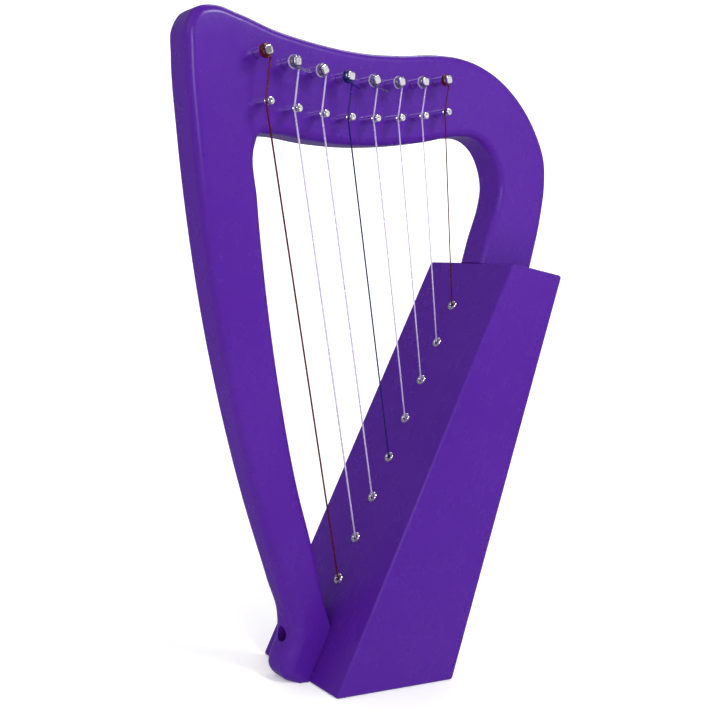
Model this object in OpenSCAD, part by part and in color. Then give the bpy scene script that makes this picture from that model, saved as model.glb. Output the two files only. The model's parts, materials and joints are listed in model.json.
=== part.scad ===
// Small eight-string harp: a painted wooden frame (pillar, neck and shoulder) on a
// wedge-shaped soundbox, with tuning pins and bridge pins on the player's left.
// +Z is up, +X runs from the pillar to the back of the soundbox, and the strings are
// on the -Y side. The origin is the centre of the flat base.

/* [Overall size] */
// Height from the base to the highest point of the neck
harp_h = 365; // [330:5:400]
// Length from the front of the pillar to the back of the shoulder
harp_l = 266; // [244:2:288]
// Width of the soundbox, across the strings
box_w = 72; // [62:1:86]
// Thickness of the pillar, the neck and the shoulder
frame_t = 21; // [20:0.5:26]

/* [Soundbox] */
// Depth of the soundbox along the base
base_depth = 88; // [80:1:100]
// Depth of the soundbox along its top
top_depth = 46; // [40:1:54]
// Thickness of the soundboard
board_t = 3; // [2.5:0.25:4]
// Thickness of the side panels
side_t = 6; // [5:0.5:8]
// Thickness of the back panel
back_t = 4; // [3:0.5:6]
// Height of the solid block in the base
base_block_h = 34; // [30:1:42]
// Height of the solid block under the shoulder
top_block_h = 22; // [20:1:28]
// Side of the corner strips that glue the panels together
liner_w = 6; // [5:0.5:8]
// Thickness of the rib under the soundboard
rib_t = 4; // [3:0.5:5]
// Width of the rib under the soundboard
rib_w = 14; // [12:1:20]
// Diameter of the lowest sound hole in the back
sound_hole_d = 34; // [28:1:38]
// How much smaller each sound hole is than the one below it
sound_hole_step = 5; // [3:0.5:6]

/* [Strings] */
// Distance between strings along the soundboard
string_pitch = 25.4; // [23:0.2:26]
// Distance from the foot of the soundboard to the first string
first_string = 57.6; // [54:0.2:62]
// Diameter of the longest string
string_d = 1; // [0.8:0.05:1.1]
// How much thinner each string is than the one before it
string_d_step = 0.04; // [0.02:0.01:0.05]
// Height of the strings above the face of the neck
string_h = 8.1; // [7:0.1:8.2]

/* [Tuning pins] */
// Diameter of a tuning pin
pin_d = 5; // [4.6:0.1:5.4]
// Length of a tuning pin that stands out of the neck
pin_out = 11.3; // [11.2:0.1:13]
// Length of a tuning pin inside the neck
pin_in = 17; // [14:0.5:18]
// Width across the flats of the pin's square end
pin_square = 4.3; // [4:0.1:4.4]
// Length of the pin's square end
pin_square_l = 1.6; // [1.2:0.1:1.8]
// Clearance between a tuning pin and its hole, on the radius
pin_clearance = 0.05; // [0.03:0.01:0.08]

/* [Bridge pins] */
// Diameter of a bridge pin
bridge_d = 4; // [3.4:0.1:4.4]
// Diameter of the groove that holds the string
groove_d = 2.1; // [1.8:0.1:2.4]
// Length of a bridge pin that stands out of the neck
bridge_out = 10.6; // [10.4:0.1:12]
// Length of a bridge pin inside the neck
bridge_in = 13; // [10:0.5:15]

/* [Eyelets] */
// Outer diameter of an eyelet's rim
eyelet_d = 6.4; // [6:0.1:7]
// Diameter of the eyelet's barrel
eyelet_barrel_d = 4.2; // [4:0.1:4.6]
// Diameter of the hole through an eyelet
eyelet_hole_d = 2.6; // [2.4:0.1:2.8]
// Height of the rim above the soundboard
eyelet_h = 1; // [0.8:0.1:1.3]

/* [Fasteners] */
// Diameter of the dowels hidden in the glue joints
dowel_d = 8; // [6:0.5:9]
// Diameter of the hole that sinks the pillar screw's head
screw_hole_d = 8; // [7.5:0.1:9]
// Diameter of the pillar screw's shank
screw_d = 4; // [3.5:0.1:4.5]

/* [Hidden] */
STRINGS = 8;

$fn = 64;
eps = 0.5;                     // how far a cut runs past the face it opens

paint = [0.36, 0.16, 0.68];
plain_wood = [0.80, 0.66, 0.46];
steel = [0.80, 0.80, 0.83];
string_red = [0.70, 0.08, 0.10];
string_blue = [0.10, 0.22, 0.62];
string_clear = [0.92, 0.92, 0.95];
// The first and last strings are the two Cs, and the fourth is the F
function string_colour(number) =
    number == 1 || number == STRINGS ? string_red : number == 4 ? string_blue : string_clear;

// The outlines are drawn for a harp 365 high and 266 long, with X from the foot of the
// soundboard. at() stretches a point of the drawing to the size that is set above.
drawn_h = 365;
drawn_l = 266;
stretch_x = harp_l / drawn_l;
stretch_z = harp_h / drawn_h;
function at(x, z) = [x * stretch_x - base_depth / 2, z * stretch_z];

// Soundbox: a wedge whose front is the soundboard and whose back leans less
board_foot = at(0, 0);
board_top = at(90, 250);
back_foot = [base_depth / 2, 0];
back_top = board_top + [top_depth, 0];
box_h = board_top[1];
board_angle = atan2(board_top[1] - board_foot[1], board_top[0] - board_foot[0]);
back_angle = atan2(back_top[1] - back_foot[1], back_top[0] - back_foot[0]);
board_run = board_t / sin(board_angle);      // the boards' thickness measured level
back_run = back_t / sin(back_angle);
inner_w = box_w - 2 * side_t;
along_board = [cos(board_angle), sin(board_angle)];
along_back = [cos(back_angle), sin(back_angle)];

// Point on the soundboard's face, s up from its foot
function on_board(s) = board_foot + along_board * s;
// X of the soundboard's face and of the back's face at height z
function board_x(z) = board_foot[0] + z / tan(board_angle);
function back_x(z) = back_foot[0] + z / tan(back_angle);
// Side view of the soundbox between two heights, cut in from the front and the back
function wedge(z0, z1, front_in, back_in) =
    [[board_x(z0) + front_in, z0], [back_x(z0) - back_in, z0],
     [back_x(z1) - back_in, z1], [board_x(z1) + front_in, z1]];
// Side view of a strip along the soundboard, or along the back, between two level distances
function behind_board(z0, z1, a, b) =
    [[board_x(z0) + a, z0], [board_x(z0) + b, z0], [board_x(z1) + b, z1], [board_x(z1) + a, z1]];
function before_back(z0, z1, a, b) =
    [[back_x(z0) - b, z0], [back_x(z0) - a, z0], [back_x(z1) - a, z1], [back_x(z1) - b, z1]];
rib_run = rib_t / sin(board_angle);
liner_run = liner_w / sin(board_angle);
back_liner_run = liner_w / sin(back_angle);
liner_y = (inner_w - liner_w) / 2;
inside_z0 = base_block_h;
inside_z1 = box_h - top_block_h;
sound_hole_stations = [74 * stretch_z, 134 * stretch_z, 188 * stretch_z];

// Smooth curve through points: a cubic between each pair, whose slope at a point is
// that of the two chords beside it, each weighted by the length of the other
curve_steps = 5;
function chord(p, i) = p[i + 1] - p[i];
function slope_at(p, i) =
    i == 0 ? chord(p, 0) / norm(chord(p, 0))
    : i == len(p) - 1 ? chord(p, i - 1) / norm(chord(p, i - 1))
    : let (a = chord(p, i - 1), b = chord(p, i), la = norm(a), lb = norm(b))
      (a * lb / la + b * la / lb) / (la + lb);
function on_curve(p, i, t) =
    let (d = norm(chord(p, i)), t2 = t * t, t3 = t2 * t)
    p[i] * (2 * t3 - 3 * t2 + 1) + p[i + 1] * (3 * t2 - 2 * t3)
    + slope_at(p, i) * d * (t3 - 2 * t2 + t) + slope_at(p, i + 1) * d * (t3 - t2);
function smooth(p) = concat(
    [for (i = [0 : len(p) - 2], k = [0 : curve_steps - 1]) on_curve(p, i, k / curve_steps)],
    [p[len(p) - 1]]);

// Outer edge of the frame: round the foot, up the pillar, over the neck, down the shoulder
outer_edge = smooth([
    at(-4, 0), at(-12, 1.5), at(-17, 7), at(-17.5, 14), at(-15, 25), at(-17, 35),
    at(-26.5, 54), at(-50, 100.5), at(-70, 145.5), at(-88, 190.5), at(-103, 234.5),
    at(-116, 279), at(-124.5, 314), at(-126, 325), at(-122.5, 334), at(-113, 339),
    at(-100, 339.5), at(-78, 338.5), at(-57, 339.7), at(-19, 345.3), at(5, 351.8),
    at(31, 360.3), at(50, 364.3), at(66, 365), at(82, 362.8), at(96, 358.2), at(111, 350),
    at(125, 338.2), at(135, 325), at(139.5, 308), at(140, 290), back_top]);
// Inner edge of the frame: up the pillar, round the corner, under the neck, down the shoulder
pillar_meets_board = on_board(32);
inner_edge = smooth([
    pillar_meets_board, at(3.5, 46), at(-10.5, 79), at(-23.5, 106), at(-45, 160),
    at(-62.5, 212.5), at(-74, 253), at(-80, 280), at(-78.5, 285.5), at(-72, 287.5),
    at(-43, 291), at(-19.5, 295), at(0, 299.8), at(28, 308.6), at(57, 319.6), at(67, 321.8),
    at(76.5, 321), at(84.5, 317.3), at(92, 309.5), at(97, 298), at(97, 288), at(92.5, 266),
    board_top]);
frame_outline = concat(
    [board_foot], outer_edge, [for (i = [len(inner_edge) - 1 : -1 : 0]) inner_edge[i]]);

// Glue joints of the frame: a line across the top of the pillar, and one across the neck
pillar_joint = [at(-140, 269), at(-76, 285)];
shoulder_joint = [at(64, 318), at(58, 370)];
pillar_area = [pillar_joint[0], pillar_joint[1], at(-50, 250), at(30, 60), at(30, -10),
    at(-140, -10)];
neck_area = [pillar_joint[0], pillar_joint[1], at(0, 290), at(57, 310), shoulder_joint[0],
    shoulder_joint[1], at(-140, 370)];
shoulder_area = [shoulder_joint[0], shoulder_joint[1], at(150, 370), at(150, 250),
    at(80, 250), at(80, 300)];

// Dowels of the frame: [centre, angle of the dowel], two across each joint
frame_dowel_l = 34;
function angle_of(v) = atan2(v[1], v[0]);
pillar_joint_angle = angle_of(pillar_joint[1] - pillar_joint[0]);
shoulder_joint_angle = angle_of(shoulder_joint[1] - shoulder_joint[0]);
function direction(a) = [cos(a), sin(a)];
pillar_joint_centre = at(-99, 279.25);
shoulder_joint_centre = at(61.1, 343.1);
pillar_dowels = [for (s = [-8.5, 8.5])
    [pillar_joint_centre + direction(pillar_joint_angle) * s, pillar_joint_angle + 90]];
shoulder_joint_dowels = [for (s = [-10, 10])
    [shoulder_joint_centre + direction(shoulder_joint_angle) * s, shoulder_joint_angle - 90]];
// Dowels between the shoulder and the soundbox: upright, in the top block
foot_dowel_l = 30;
foot_dowel_in_box = 14;
foot_dowels = [for (part = [0.3, 0.72]) board_top + [top_depth * part, 0]];

// Pillar screw: square to the soundboard, through the foot into the base block
screw_station = on_board(18.5);
screw_angle = board_angle - 90;
screw_head_seat = 12;          // wood left under the head
screw_head_h = 3;
screw_l = 44;
screw_head_r = screw_hole_d / 2 - 0.3;
screw_reach = 40;              // how far the sinking drill reaches out of the foot
recess_w = 1.2;

// Rows of pins along the neck. Each row bends upwards, so its height is a quadratic
tuning_points = [for (i = [0 : STRINGS - 1]) at(-88 + 17 * i, 323 - 0.7 * i + 0.53 * i * i)];
bridge_points = [for (i = [0 : STRINGS - 1]) at(-82.5 + 16.8 * i, 300 + 0.5 * i + 0.48 * i * i)];
string_ds = [for (i = [0 : STRINGS - 1]) string_d - string_d_step * i];
face = frame_t / 2;            // distance from the middle of the frame to its faces
string_y = face + string_h;    // distance from the middle of the frame to the strings
pin_r = pin_d / 2;
pin_hole_r = pin_r + pin_clearance;
bridge_r = bridge_d / 2;
groove_r = groove_d / 2;
groove_half = 0.6;
groove_flare = 0.35;
dimple_r = 0.5;
edge_break = 0.35;
pin_turns = [28, 12, 40, 5, 33, 20, 8, 25];
eyelet_hole_r = eyelet_hole_d / 2;
eyelet_barrel_r = eyelet_barrel_d / 2;
rim_r = (eyelet_d / 2 + eyelet_hole_r) / 2;        // middle of the rim
rim_half = (eyelet_d / 2 - eyelet_hole_r) / 2;     // half of the rim's width
rib_hole_d = 2.2;
eyelet_stations = [for (i = [0 : STRINGS - 1]) first_string + string_pitch * i];

// String winding on a tuning pin: the string's first turn, one more that rides with the pin,
// and a cut end left sticking out. Turns are counted from the string towards the neck.
riding_turn = -1;
hole_turn = 2;                 // where the string passes through the pin
turn_gap = 1.05;               // distance between turns, in string diameters
tail_angles = [70, 0, 85, -14, -7, 75, 90, 80];
tail_ls = [2.5, 9.7, 2.5, 8.2, 9.5, 2.5, 2.5, 2.5];
tail_turns = [2, -2, 2, -2, -2, 2, 2, 2];      // turn beside which the end lies
cross_hole_d = 1.2;
// Height of a turn above the middle of the frame, counted from the string towards the neck
function turn_z(i, k) = string_y - k * turn_gap * string_ds[i];

// Knot behind the rib
knot_r = 1.9;
knot_gap = 0.1;
knot_depth = board_t + rib_t + knot_gap + knot_r;

// Route of a string. It leaves the right of its tuning pin, bends round the left of its
// bridge pin and runs to its eyelet. Points are [x, y, z].
rub = 0.05;                    // gap between a string and the pin that it bends round
eyelet_dip = 0.4;              // height above the soundboard where it turns into the eyelet
first_turn_step = 30;          // angle between the points of the turn round the tuning pin
first_turn_end = 330;
function turned(v, a) = [v[0] * cos(a) - v[1] * sin(a), v[0] * sin(a) + v[1] * cos(a)];
function bend_at(c, r, a) = [c[0] + r * cos(a), -string_y, c[1] + r * sin(a)];
function route(i) =
    let (
        r = string_ds[i] / 2,
        wound = pin_r + r + rub,               // string centre from the tuning pin's axis
        bent = groove_r + r + rub,             // string centre from the bridge pin's axis
        pin = tuning_points[i],
        bridge = bridge_points[i],
        eye = on_board(eyelet_stations[i]),
        outward = direction(board_angle + 90),
        mouth = eye + outward * eyelet_dip,
        down = bridge - pin,
        crossing = asin((wound + bent) / norm(down)),
        first = turned(down / norm(down), -crossing),
        second = turned((mouth - bridge) / norm(mouth - bridge),
            asin(bent / norm(mouth - bridge))),
        leaving = angle_of(turned(first, 90)),
        bend_0 = angle_of(turned(first, -90)),
        bend_1 = angle_of(turned(second, -90)),
        sweep = bend_1 - bend_0 - 360 * round((bend_1 - bend_0) / 360),
        knot = eye - outward * knot_depth,
        pitch = string_y - turn_z(i, 1)
    )
    concat(
        [for (a = [first_turn_end : -first_turn_step : 0])
            bend_at(pin, wound / cos(first_turn_step / 2), leaving + a)
                + [0, pitch * a / 360, 0]],
        [for (k = [0 : 3]) bend_at(bridge, bent, bend_0 + sweep * k / 3)],
        [[mouth[0], 0, mouth[1]], [knot[0], 0, knot[1]]]);

// Round tube through the points of a route, made as one closed solid
tube_sides = 8;
function unit(v) = v / norm(v);
function tube_step(p, i) = unit(p[i + 1] - p[i]);
// Direction in which the ring at point i faces: half way between its two stretches
function ring_facing(p, i) =
    i == 0 ? tube_step(p, 0)
    : i == len(p) - 1 ? tube_step(p, i - 1)
    : unit(tube_step(p, i - 1) + tube_step(p, i));
// The ring is where the round tube of the stretch before it meets the ring's plane
function ring(p, i, r) =
    let (
        n = ring_facing(p, i),
        d = i == 0 ? tube_step(p, 0) : tube_step(p, i - 1),
        u = unit(cross(d, [0, 1, 0])),
        v = cross(d, u)
    )
    [for (k = [0 : tube_sides - 1])
        let (
            a = 360 * k / tube_sides,
            q = (u * cos(a) + v * sin(a)) * r
        )
        p[i] + q - d * (q * n) / (d * n)];

module tube(p, r) {
    rings = [for (i = [0 : len(p) - 1]) each ring(p, i, r)];
    last = (len(p) - 1) * tube_sides;
    walls = [for (i = [0 : len(p) - 2], k = [0 : tube_sides - 1])
        let (a = i * tube_sides + k, b = i * tube_sides + (k + 1) % tube_sides)
        [a, a + tube_sides, b + tube_sides, b]];
    start_cap = [for (k = [0 : tube_sides - 1]) k];
    end_cap = [for (k = [tube_sides - 1 : -1 : 0]) last + k];
    polyhedron(rings, concat(walls, [start_cap, end_cap]));
}

// Plate w thick in the XZ plane, with its middle at y
module plate(points, w, y = 0) {
    translate([0, y + w / 2, 0])
        rotate([90, 0, 0])
            linear_extrude(w)
                polygon(points);
}

// Puts the local Z axis at point p of the XZ plane, pointing along angle a
module aimed(p, a) {
    translate([p[0], 0, p[1]])
        rotate([0, 90 - a, 0])
            children();
}

// Puts the local Z axis at point p of the XZ plane, pointing to the player's left
module leftwards(p) {
    translate([p[0], 0, p[1]])
        rotate([90, 0, 0])
            children();
}

module dowel_at(dowel, l) {
    aimed(dowel[0], dowel[1])
        cylinder(d = dowel_d, h = l, center = true);
}

module frame_dowel_set() {
    for (dowel = concat(pillar_dowels, shoulder_joint_dowels))
        dowel_at(dowel, frame_dowel_l);
}

module foot_dowel_set() {
    for (p = foot_dowels)
        translate([p[0], 0, p[1] - foot_dowel_in_box])
            cylinder(d = dowel_d, h = foot_dowel_l);
}

// Hole for the shank of the pillar screw, the same size as the shank
module screw_shank() {
    aimed(screw_station, screw_angle + 180)
        translate([0, 0, screw_head_seat - screw_l])
            cylinder(d = screw_d, h = screw_l + eps);
}

// One wooden piece of the frame: the part of the outline that lies in an area
module frame_piece(area) {
    rotate([90, 0, 0])
        linear_extrude(frame_t, center = true)
            intersection() {
                polygon(frame_outline);
                polygon(area);
            }
}

module pillar() {
    color(paint)
        difference() {
            frame_piece(pillar_area);
            for (dowel = pillar_dowels)
                dowel_at(dowel, frame_dowel_l);
            screw_shank();
            aimed(screw_station, screw_angle + 180)
                translate([0, 0, screw_head_seat])
                    cylinder(d = screw_hole_d, h = screw_reach);
        }
}

module neck() {
    color(paint)
        difference() {
            frame_piece(neck_area);
            for (p = tuning_points)
                leftwards(p)
                    translate([0, 0, face - pin_in - eps])
                        cylinder(r = pin_hole_r, h = pin_in + 2 * eps);
            for (p = bridge_points)
                leftwards(p)
                    translate([0, 0, face - bridge_in])
                        cylinder(r = bridge_r, h = bridge_in + eps);
            frame_dowel_set();
        }
}

module shoulder() {
    color(paint)
        difference() {
            frame_piece(shoulder_area);
            for (dowel = shoulder_joint_dowels)
                dowel_at(dowel, frame_dowel_l);
            foot_dowel_set();
        }
}

module frame_dowels() {
    color(plain_wood)
        frame_dowel_set();
}

module soundboard() {
    color(paint)
        difference() {
            plate(behind_board(0, box_h, 0, board_run), box_w);
            for (s = eyelet_stations)
                aimed(on_board(s), board_angle + 90)
                    translate([0, 0, -board_t - eps])
                        cylinder(d = eyelet_barrel_d, h = board_t + 2 * eps);
            screw_shank();
        }
}

module side_panel(side) {
    color(paint)
        plate(wedge(0, box_h, board_run, back_run), side_t, side * (box_w - side_t) / 2);
}

module left_side_panel() {
    side_panel(-1);
}

module right_side_panel() {
    side_panel(1);
}

module back_panel() {
    color(paint)
        difference() {
            plate(before_back(0, box_h, 0, back_run), box_w);
            for (i = [0 : len(sound_hole_stations) - 1])
                aimed(back_foot + along_back * sound_hole_stations[i], back_angle - 90)
                    translate([0, 0, -back_t - eps])
                        cylinder(d = sound_hole_d - sound_hole_step * i, h = back_t + 2 * eps);
        }
}

module base_block() {
    color(plain_wood)
        difference() {
            plate(wedge(0, base_block_h, board_run, back_run), inner_w);
            screw_shank();
        }
}

module top_block() {
    color(plain_wood)
        difference() {
            plate(wedge(box_h - top_block_h, box_h, board_run, back_run), inner_w);
            foot_dowel_set();
        }
}

// Stiff strip behind the soundboard that takes the pull of the strings
module string_rib() {
    color(plain_wood)
        difference() {
            plate(behind_board(inside_z0, inside_z1, board_run, board_run + rib_run), rib_w);
            for (s = eyelet_stations)
                aimed(on_board(s), board_angle + 90)
                    translate([0, 0, -board_t - rib_t - eps])
                        cylinder(d = rib_hole_d, h = board_t + rib_t);
        }
}

module soundboard_liners() {
    color(plain_wood)
        for (side = [-1, 1])
            plate(behind_board(inside_z0, inside_z1, board_run, board_run + liner_run), liner_w,
                side * liner_y);
}

module back_liners() {
    color(plain_wood)
        for (side = [-1, 1])
            plate(before_back(inside_z0, inside_z1, back_run, back_run + back_liner_run), liner_w,
                side * liner_y);
}

// A rolled rim above the soundboard, and a barrel through it
module eyelets() {
    color(steel)
        for (s = eyelet_stations)
            aimed(on_board(s), board_angle + 90)
                rotate_extrude()
                    polygon(concat(
                        [[eyelet_hole_r, -board_t], [eyelet_barrel_r, -board_t],
                         [eyelet_barrel_r, 0]],
                        [for (a = [0 : 15 : 180])
                            [rim_r + rim_half * cos(a), eyelet_h * sin(a)]]));
}

// The knot that stops each string behind the rib
module string_knots() {
    color(string_clear)
        for (i = [0 : STRINGS - 1])
            aimed(on_board(eyelet_stations[i]), board_angle + 90)
                translate([0, 0, -knot_depth])
                    difference() {
                        sphere(r = knot_r);
                        cylinder(d = string_ds[i] + 2 * rub, h = knot_r + eps);
                    }
}

// Plain rod with a groove for the string and a dimple in its end
module bridge_pins() {
    tip = face + bridge_out;
    color(steel)
        for (p = bridge_points)
            leftwards(p)
                rotate_extrude()
                    polygon([
                        [0, face - bridge_in],
                        [bridge_r, face - bridge_in],
                        [bridge_r, string_y - groove_half - groove_flare],
                        [groove_r, string_y - groove_half],
                        [groove_r, string_y + groove_half],
                        [bridge_r, string_y + groove_half + groove_flare],
                        [bridge_r, tip - edge_break],
                        [bridge_r - edge_break, tip],
                        [dimple_r, tip],
                        [0, tip - dimple_r]]);
}

module pillar_screw() {
    top = screw_head_seat + screw_head_h;
    color(steel)
        aimed(screw_station, screw_angle + 180)
            difference() {
                rotate_extrude()
                    polygon([
                        [0, screw_head_seat - screw_l],
                        [screw_d / 2, screw_head_seat - screw_l + screw_d],
                        [screw_d / 2, screw_head_seat],
                        [screw_head_r, screw_head_seat],
                        [screw_head_r, top - edge_break],
                        [screw_head_r - edge_break, top],
                        [0, top]]);
                for (a = [0, 90])
                    rotate([0, 0, a])
                        translate([-screw_head_r * 0.6, -recess_w / 2, top - screw_head_h * 0.6])
                            cube([screw_head_r * 1.2, recess_w, screw_head_h]);
            }
}

module shoulder_dowels() {
    color(plain_wood)
        foot_dowel_set();
}

module string(number) {
    i = number - 1;
    color(string_colour(number))
        tube(route(i), string_ds[i] / 2);
}

// Round pin with a square end for the key, an edge broken all round and a cross hole
module tuning_pin(number) {
    i = number - 1;
    tip = face + pin_out;
    bottom = face - pin_in;
    square_foot = tip - pin_square_l;
    color(steel)
        leftwards(tuning_points[i])
            rotate([0, 0, pin_turns[i]])
                difference() {
                    intersection() {
                        rotate_extrude()
                            polygon([
                                [0, bottom],
                                [pin_r - edge_break, bottom],
                                [pin_r, bottom + edge_break],
                                [pin_r, tip - edge_break],
                                [pin_r - edge_break, tip],
                                [0, tip]]);
                        union() {
                            translate([-pin_d, -pin_d, bottom - eps])
                                cube([2 * pin_d, 2 * pin_d, square_foot - bottom + eps]);
                            translate([-pin_square / 2, -pin_square / 2, bottom])
                                cube([pin_square, pin_square, tip - bottom + eps]);
                        }
                    }
                    translate([-pin_d, 0, turn_z(i, hole_turn)])
                        rotate([0, 90, 0])
                            cylinder(d = cross_hole_d, h = 2 * pin_d);
                }
}

// The turn that moves with the pin, and the string's cut end. The first turn belongs to the
// string.
module string_winding(number) {
    i = number - 1;
    r = string_ds[i] / 2;
    a = tail_angles[i];
    start = direction(a - 90) * (pin_r + r + rub);
    color(string_colour(number))
        leftwards(tuning_points[i]) {
            translate([0, 0, turn_z(i, riding_turn)])
                rotate_extrude()
                    union() {
                        translate([pin_r + r, 0])
                            circle(r);
                        translate([pin_r, -r])
                            square([r, 2 * r]);
                    }
            translate([start[0], start[1], turn_z(i, tail_turns[i])])
                rotate([0, 90, a])
                    cylinder(r = r, h = tail_ls[i]);
        }
}

pillar();
neck();
shoulder();
frame_dowels();
soundboard();
left_side_panel();
right_side_panel();
back_panel();
base_block();
top_block();
string_rib();
soundboard_liners();
back_liners();
eyelets();
string_knots();
bridge_pins();
pillar_screw();
shoulder_dowels();
for (i = [1 : STRINGS]) {
    string(i);
    tuning_pin(i);
    string_winding(i);
}
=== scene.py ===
# %% [markdown]
# # A small painted harp
# The harp has a wooden frame (pillar, neck and shoulder) glued to a wedge-shaped soundbox.
# Eight nylon strings run from steel tuning pins, round bridge pins, to eyelets in the
# soundboard. The imported model gives every size and place, so it is loaded first. Nothing
# made below may grow past it.

# %% Load the imported model
import json
import bpy
import bmesh
import numpy as np
from mathutils import Matrix, Vector


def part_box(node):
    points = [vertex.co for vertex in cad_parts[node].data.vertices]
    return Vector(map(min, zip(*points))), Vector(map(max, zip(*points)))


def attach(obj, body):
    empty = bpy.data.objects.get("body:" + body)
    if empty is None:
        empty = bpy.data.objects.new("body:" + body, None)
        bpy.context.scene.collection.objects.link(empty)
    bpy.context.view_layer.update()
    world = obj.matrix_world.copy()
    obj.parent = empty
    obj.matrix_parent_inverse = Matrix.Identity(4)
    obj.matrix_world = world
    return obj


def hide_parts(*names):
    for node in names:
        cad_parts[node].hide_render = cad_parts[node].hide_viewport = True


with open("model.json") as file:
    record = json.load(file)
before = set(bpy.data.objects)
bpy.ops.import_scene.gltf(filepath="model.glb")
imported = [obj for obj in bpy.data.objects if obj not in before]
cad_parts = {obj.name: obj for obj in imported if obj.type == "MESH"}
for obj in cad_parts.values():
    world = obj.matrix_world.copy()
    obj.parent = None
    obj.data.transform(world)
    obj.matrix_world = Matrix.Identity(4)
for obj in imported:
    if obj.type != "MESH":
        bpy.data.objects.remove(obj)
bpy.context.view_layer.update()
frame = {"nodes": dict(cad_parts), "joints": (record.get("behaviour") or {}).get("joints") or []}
nodes = frame["nodes"]

# %% [markdown]
# ## Camera
# The harp is seen from its front left, a little above the middle, with the camera rolled
# so that the harp leans to the left. A camera's own axes look down -Z, so it is first laid
# level along +Y, then rolled, tilted and turned about the upright axis.

# %% Camera
MM = 0.001
CAMERA_PLACE = np.array([-361.3, -398.8, 186.1]) * MM
CAMERA_TURN = 39.57
CAMERA_TILT = -0.57
CAMERA_ROLL = 8.02
SENSOR_W = 36.0
LENS = 45.48


def turn(degrees, axis):
    """A turn about one axis, as a 4 by 4 matrix."""
    return Matrix.Rotation(np.radians(degrees), 4, axis)


camera_data = bpy.data.cameras.new("camera")
camera_data.sensor_width = SENSOR_W
camera_data.lens = LENS
camera = bpy.data.objects.new("camera", camera_data)
bpy.context.scene.collection.objects.link(camera)
camera.matrix_world = (
    Matrix.Translation(CAMERA_PLACE)
    @ turn(-CAMERA_TURN, "Z")
    @ turn(90 + CAMERA_TILT, "X")
    @ turn(CAMERA_ROLL, "Z")
)
bpy.context.scene.camera = camera
print("camera in mm:", (CAMERA_PLACE / MM).round(1), "lens", LENS)

# %% [markdown]
# ## Drawing to model
# The frame's outline is drawn in millimetres, with X from the foot of the soundboard and Z
# from the table, beside a soundboard 250 high. The model's own boxes give the real sizes,
# so the drawing is stretched upwards to the height of the model's soundboard. Curves
# through the drawn points use one cubic between each pair.

# %% Drawing to model
DRAWN_BOARD_RUN = 90
DRAWN_BOARD_H = 250
side_low, side_high = (np.array(corner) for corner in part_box("left_side_panel"))
board_low, board_high = (np.array(corner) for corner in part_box("soundboard"))
neck_low, neck_high = (np.array(corner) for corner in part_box("neck"))
FOOT_X = board_low[0]
HALF_T = (neck_high[1] - neck_low[1]) / 2
BOX_W = board_high[1] - board_low[1]
BOX_H = board_high[2]
TOP_DEPTH = 46 * MM
BOARD_T = 3 * MM
BACK_T = 4 * MM
SIDE_T = side_high[1] - side_low[1]
stretch = np.array([1.0, BOX_H / (DRAWN_BOARD_H * MM)])


def at(points):
    """Drawn points in mm, moved to the model's X and Z in metres."""
    return np.asarray(points, float) * MM * stretch + [FOOT_X, 0]


def unit(v):
    """Vectors divided by their own lengths."""
    return v / np.linalg.norm(v, axis=-1, keepdims=True)


def curve_at(points, t):
    """A smooth curve through points, at t, where a whole number is a point. Each span is a
    cubic whose slope at a point is that of the chords beside it, each weighted by the
    length of the other."""
    chords = np.diff(points, axis=0)
    lengths = np.linalg.norm(chords, axis=1, keepdims=True)
    ways = chords / lengths
    before, after = lengths[:-1], lengths[1:]
    middle = (ways[:-1] * after + ways[1:] * before) / (before + after)
    slopes = np.vstack([ways[:1], middle, ways[-1:]])
    i = np.clip(np.floor(t).astype(int), 0, len(points) - 2)
    u = (t - i)[:, None]
    d = lengths[i]
    return (
        points[i] * (2 * u**3 - 3 * u**2 + 1)
        + points[i + 1] * (3 * u**2 - 2 * u**3)
        + slopes[i] * d * (u**3 - 2 * u**2 + u)
        + slopes[i + 1] * d * (u**3 - u**2)
    )


BOARD_FOOT, BOARD_TOP = at([[0, 0], [DRAWN_BOARD_RUN, DRAWN_BOARD_H]])
BOARD_WAY = unit(BOARD_TOP - BOARD_FOOT)
BOARD_OUT = np.array([-BOARD_WAY[1], BOARD_WAY[0]])
BACK_TOP = BOARD_TOP + [TOP_DEPTH, 0]
BACK_FOOT = np.array([-FOOT_X, 0.0])
BACK_WAY = unit(BACK_TOP - BACK_FOOT)
BACK_OUT = np.array([BACK_WAY[1], -BACK_WAY[0]])
print("soundboard", np.linalg.norm(BOARD_TOP - BOARD_FOOT).round(4), "m long")

# %% [markdown]
# ## Making meshes
# Every new piece is a grid of points worked out as one array. A ring of points is carried
# along a path, neighbouring rings are joined with four-sided faces, and the two open ends
# are closed. One helper builds the mesh, merges points that meet and faces it outwards.

# %% Mesh helpers
HARP_BODY = "harp"
MERGE_DIST = 1e-7
SHARP_ANGLE = 38
FLAT_WEIGHT = 80


def grid_faces(rings, sides, first=0):
    """Faces that join each ring to the next, the last side of a ring joining its first."""
    ring, side = np.meshgrid(np.arange(rings - 1), np.arange(sides), indexing="ij")
    a = first + ring * sides + side
    b = first + ring * sides + (side + 1) % sides
    return np.stack([a, b, b + sides, a + sides], axis=-1).reshape(-1, 4)


def make_piece(name, points, faces, body=HARP_BODY):
    """A mesh object from points and faces, with doubles merged and faces outwards."""
    mesh = bpy.data.meshes.new(name)
    mesh.from_pydata(points.reshape(-1, 3).tolist(), [], faces)
    shell = bmesh.new()
    shell.from_mesh(mesh)
    bmesh.ops.remove_doubles(shell, verts=shell.verts, dist=MERGE_DIST)
    bmesh.ops.recalc_face_normals(shell, faces=shell.faces)
    shell.to_mesh(mesh)
    shell.free()
    piece = bpy.data.objects.new(name, mesh)
    bpy.context.scene.collection.objects.link(piece)
    mesh.shade_smooth()
    if body:
        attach(piece, body)
    return piece


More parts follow.
